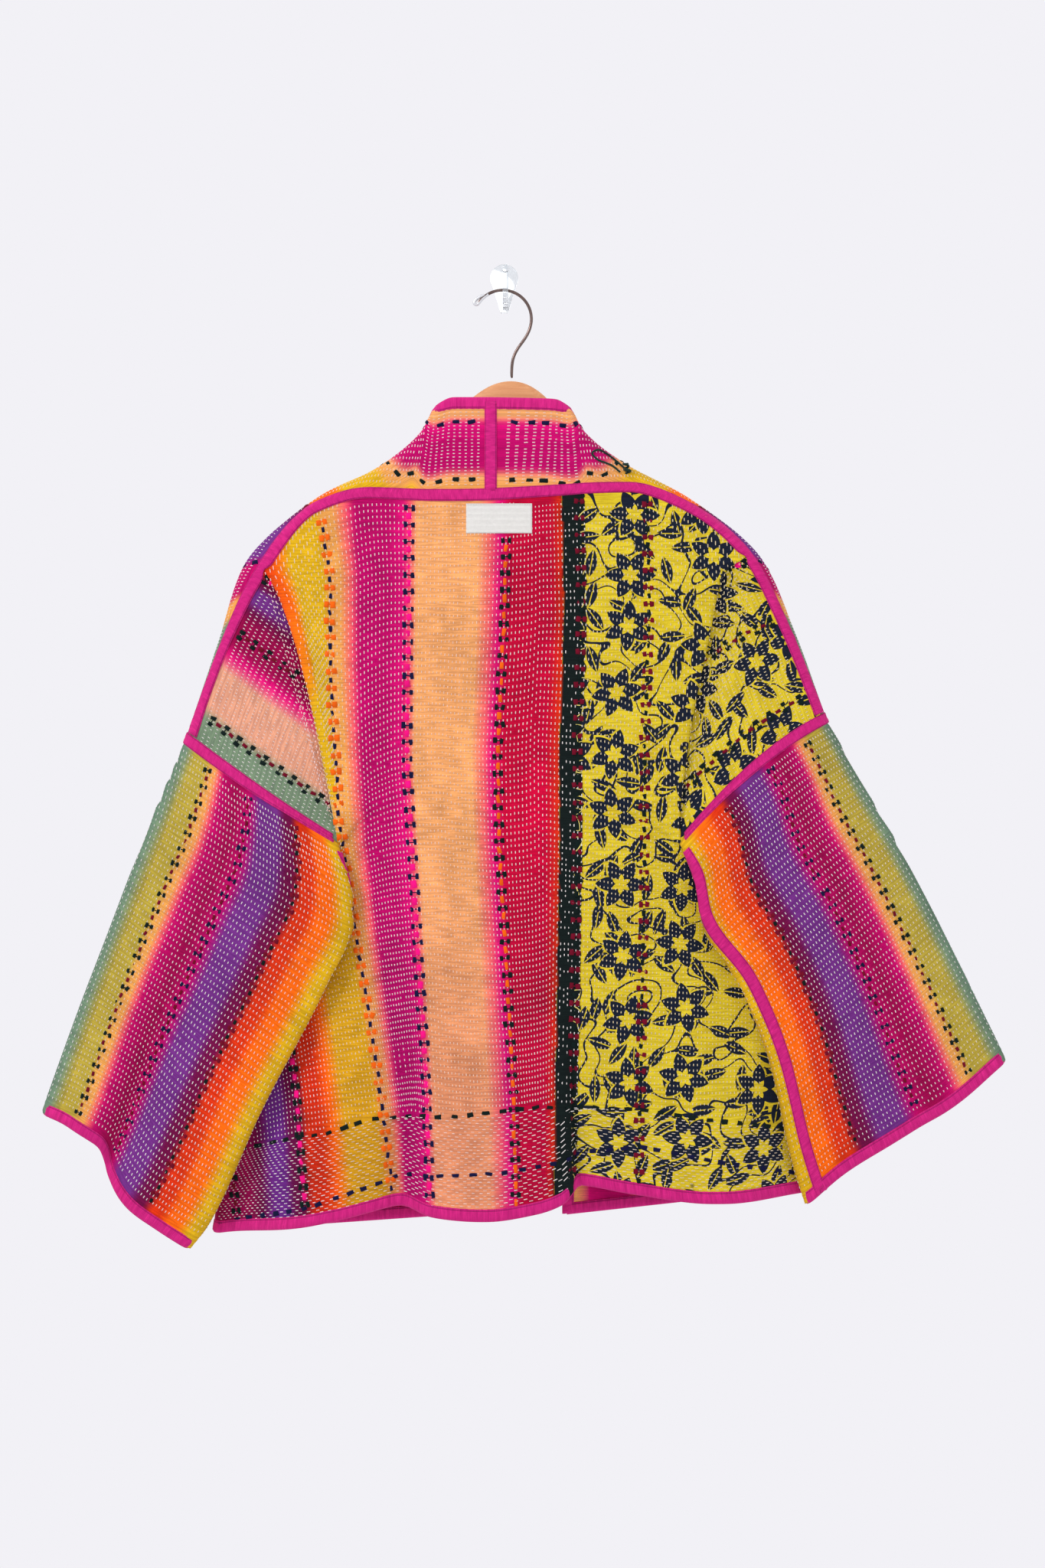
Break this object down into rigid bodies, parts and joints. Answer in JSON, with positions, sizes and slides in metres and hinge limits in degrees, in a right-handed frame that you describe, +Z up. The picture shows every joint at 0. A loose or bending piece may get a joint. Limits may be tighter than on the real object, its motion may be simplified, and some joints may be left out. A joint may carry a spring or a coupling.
{
  "type": "quilted cotton jacket on a wooden hanger with a wall hook",
  "caption": "Open-front quilted jacket with wide sleeves and bound edges, hanging on a wooden hanger from a clear wall hook.",
  "frame": {"origin": "middle of the wall hook's plate on its back face, which lies on the wall", "axes": "+Z up, +Y into the wall, +X to the right of someone who faces the wall and sees the jacket's back"},
  "size_m": [0.9154, 0.0651, 0.9385],
  "materials": {
    "quilted_cotton": "matt quilted cotton, striped and flowered",
    "binding_tape": "matt folded cotton tape",
    "label_cloth": "plain woven tape",
    "thread": "twisted cotton",
    "beech": "satin",
    "wire": "polished wire",
    "clear_plastic": "clear, glossy"
  },
  "bodies": {
    "root": {"back": "quilted_cotton", "front_left": "quilted_cotton", "front_right": "quilted_cotton", "sleeve_left": "quilted_cotton", "sleeve_right": "quilted_cotton", "bind_neck_shoulder": "binding_tape", "bind_centre_back": "binding_tape", "bind_armhole_left": "binding_tape", "bind_underarm_left": "binding_tape", "bind_side_left": "binding_tape", "bind_cuff_left": "binding_tape", "bind_collar_left": "binding_tape", "bind_front_left": "binding_tape", "bind_hem_left": "binding_tape", "bind_armhole_right": "binding_tape", "bind_underarm_right": "binding_tape", "bind_side_right": "binding_tape", "bind_cuff_right": "binding_tape", "bind_collar_right": "binding_tape", "bind_front_right": "binding_tape", "bind_hem_right": "binding_tape", "bind_hem_back": "binding_tape", "label": "label_cloth", "thread_tail": "thread", "hanger_wood": "beech", "hanger_hook": "wire", "wall_hook": "clear_plastic"}
  },
  "joints": []
}
